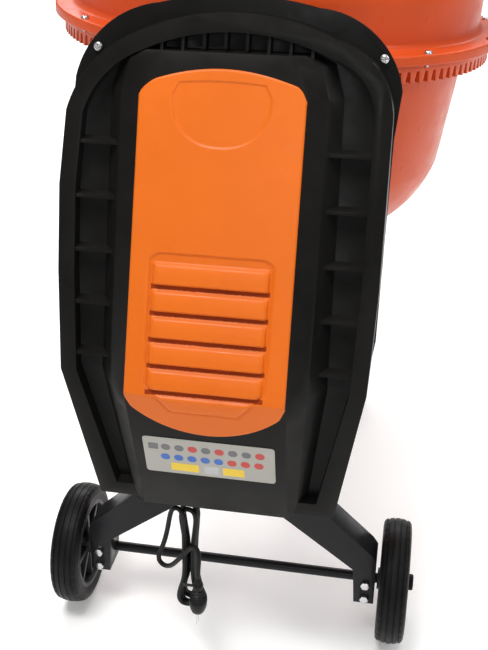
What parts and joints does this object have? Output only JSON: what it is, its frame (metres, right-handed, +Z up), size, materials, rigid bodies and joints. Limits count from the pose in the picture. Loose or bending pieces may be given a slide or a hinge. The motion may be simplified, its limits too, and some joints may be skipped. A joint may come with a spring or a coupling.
{
  "type": "concrete mixer",
  "caption": "Electric concrete mixer on two wheels: tilting drum in a yoke, belt and gear drive in a moulded casing, handwheel with tilt lock.",
  "frame": {"origin": "on the ground, under the middle of the machine's outer box", "axes": "+X to the right seen from the motor side, +Y from the motor side to the handwheel side, +Z up"},
  "size_m": [0.7034, 1.0504, 1.3454],
  "materials": {
    "black_plastic": "satin moulded plastic",
    "orange_plastic": "moulded plastic, light sheen",
    "drum_orange": "powder coat",
    "frame_grey": "powder coat",
    "steel": "bright turned steel",
    "zinc": "zinc plated",
    "cast_iron": "painted casting",
    "tyre": "moulded rubber",
    "rim_plastic": "moulded plastic",
    "rubber": "matt rubber",
    "bronze": "sintered bronze",
    "label": "printed film",
    "motor_grey": "cast aluminium",
    "cord_pvc": "flexible sheath",
    "button_green": "moulded plastic",
    "button_red": "moulded plastic"
  },
  "bodies": {
    "stand": {"near_upright": "frame_grey", "far_upright": "frame_grey", "base_rail": "frame_grey", "near_legs": "frame_grey", "far_legs": "frame_grey", "rubber_feet": "rubber", "axle_rod": "frame_grey", "axle_clamps": "zinc", "axle_bolts": "zinc", "axle_caps": "black_plastic", "bearing_housings": "cast_iron", "frame_fasteners": "zinc", "casing": "black_plastic", "back_plate": "black_plastic", "cover": "orange_plastic", "label": "label", "motor_body": "motor_grey", "fan_cowl": "black_plastic", "motor_bracket": "frame_grey", "capacitor": "black_plastic", "drive_belt": "rubber", "switch_box": "black_plastic", "cord_gland": "rubber", "lock_guide": "frame_grey", "cord_lead": "cord_pvc", "cord_loop": "cord_pvc", "cord_tail": "cord_pvc", "cord_hank": "cord_pvc", "plug_body": "cord_pvc", "plug_pins": "zinc"},
    "wheel_left": {"tyre_left": "tyre", "wheel_rim_left": "rim_plastic"},
    "wheel_right": {"tyre_right": "tyre", "wheel_rim_right": "rim_plastic"},
    "yoke": {"yoke_frame": "frame_grey", "yoke_journals": "steel", "shaft_bushes": "bronze", "lock_disc": "frame_grey", "drum_spindle": "steel", "spindle_nut": "zinc", "handwheel_rim": "frame_grey", "handwheel_hub": "cast_iron"},
    "drum": {"drum_bowl": "drum_orange", "drum_cone": "drum_orange", "drum_seal": "rubber", "flange_bolts": "zinc", "ring_gear": "drum_orange", "drum_hub": "cast_iron", "hub_bearings": "steel", "hub_bolts": "zinc", "mixing_paddles": "drum_orange"},
    "pinion_drive": {"pinion": "cast_iron", "pinion_shaft": "steel", "drum_pulley": "cast_iron"},
    "motor_rotor": {"motor_shaft": "steel", "motor_fan": "black_plastic", "motor_pulley": "steel"},
    "on_switch": {"on_button": "button_green"},
    "off_switch": {"off_button": "button_red"},
    "tilt_lock": {"lock_pin": "zinc"}
  },
  "joints": [
    {"name": "wheel_left_spin", "type": "hinge", "parent": "stand", "child": "wheel_left", "pos_m": [-0.265, -0.304, 0.1], "axis": [1, 0, 0], "continuous": true},
    {"name": "wheel_right_spin", "type": "hinge", "parent": "stand", "child": "wheel_right", "pos_m": [0.265, -0.304, 0.1], "axis": [1, 0, 0], "continuous": true},
    {"name": "yoke_tilt", "type": "hinge", "parent": "stand", "child": "yoke", "pos_m": [0, 0.045, 0.8703], "axis": [0, 1, 0], "range_deg": [-110, 110]},
    {"name": "drum_spin", "type": "hinge", "parent": "yoke", "child": "drum", "pos_m": [0, 0.045, 0.8703], "axis": [0.0576, 0, 0.9983], "continuous": true},
    {"name": "pinion_spin", "type": "hinge", "parent": "yoke", "child": "pinion_drive", "pos_m": [0, -0.28, 0.8703], "axis": [0, 1, 0], "continuous": true},
    {"name": "rotor_spin", "type": "hinge", "parent": "stand", "child": "motor_rotor", "pos_m": [0, -0.43, 0.505], "axis": [0, 1, 0], "continuous": true},
    {"name": "on_press", "type": "slide", "parent": "stand", "child": "on_switch", "axis": [1, 0, 0], "range_m": [0, 0.003], "stiffness_N_per_m": 500, "springref_m": -0.002},
    {"name": "off_press", "type": "slide", "parent": "stand", "child": "off_switch", "axis": [1, 0, 0], "range_m": [0, 0.003], "stiffness_N_per_m": 500, "springref_m": -0.002},
    {"name": "lock_slide", "type": "slide", "parent": "stand", "child": "tilt_lock", "axis": [0, 0, 1], "range_m": [0, 0.012]}
  ],
  "couplings": [
    {"joint": "pinion_spin", "follows": "drum_spin", "ratio": 11},
    {"joint": "rotor_spin", "follows": "drum_spin", "ratio": 38.133}
  ]
}
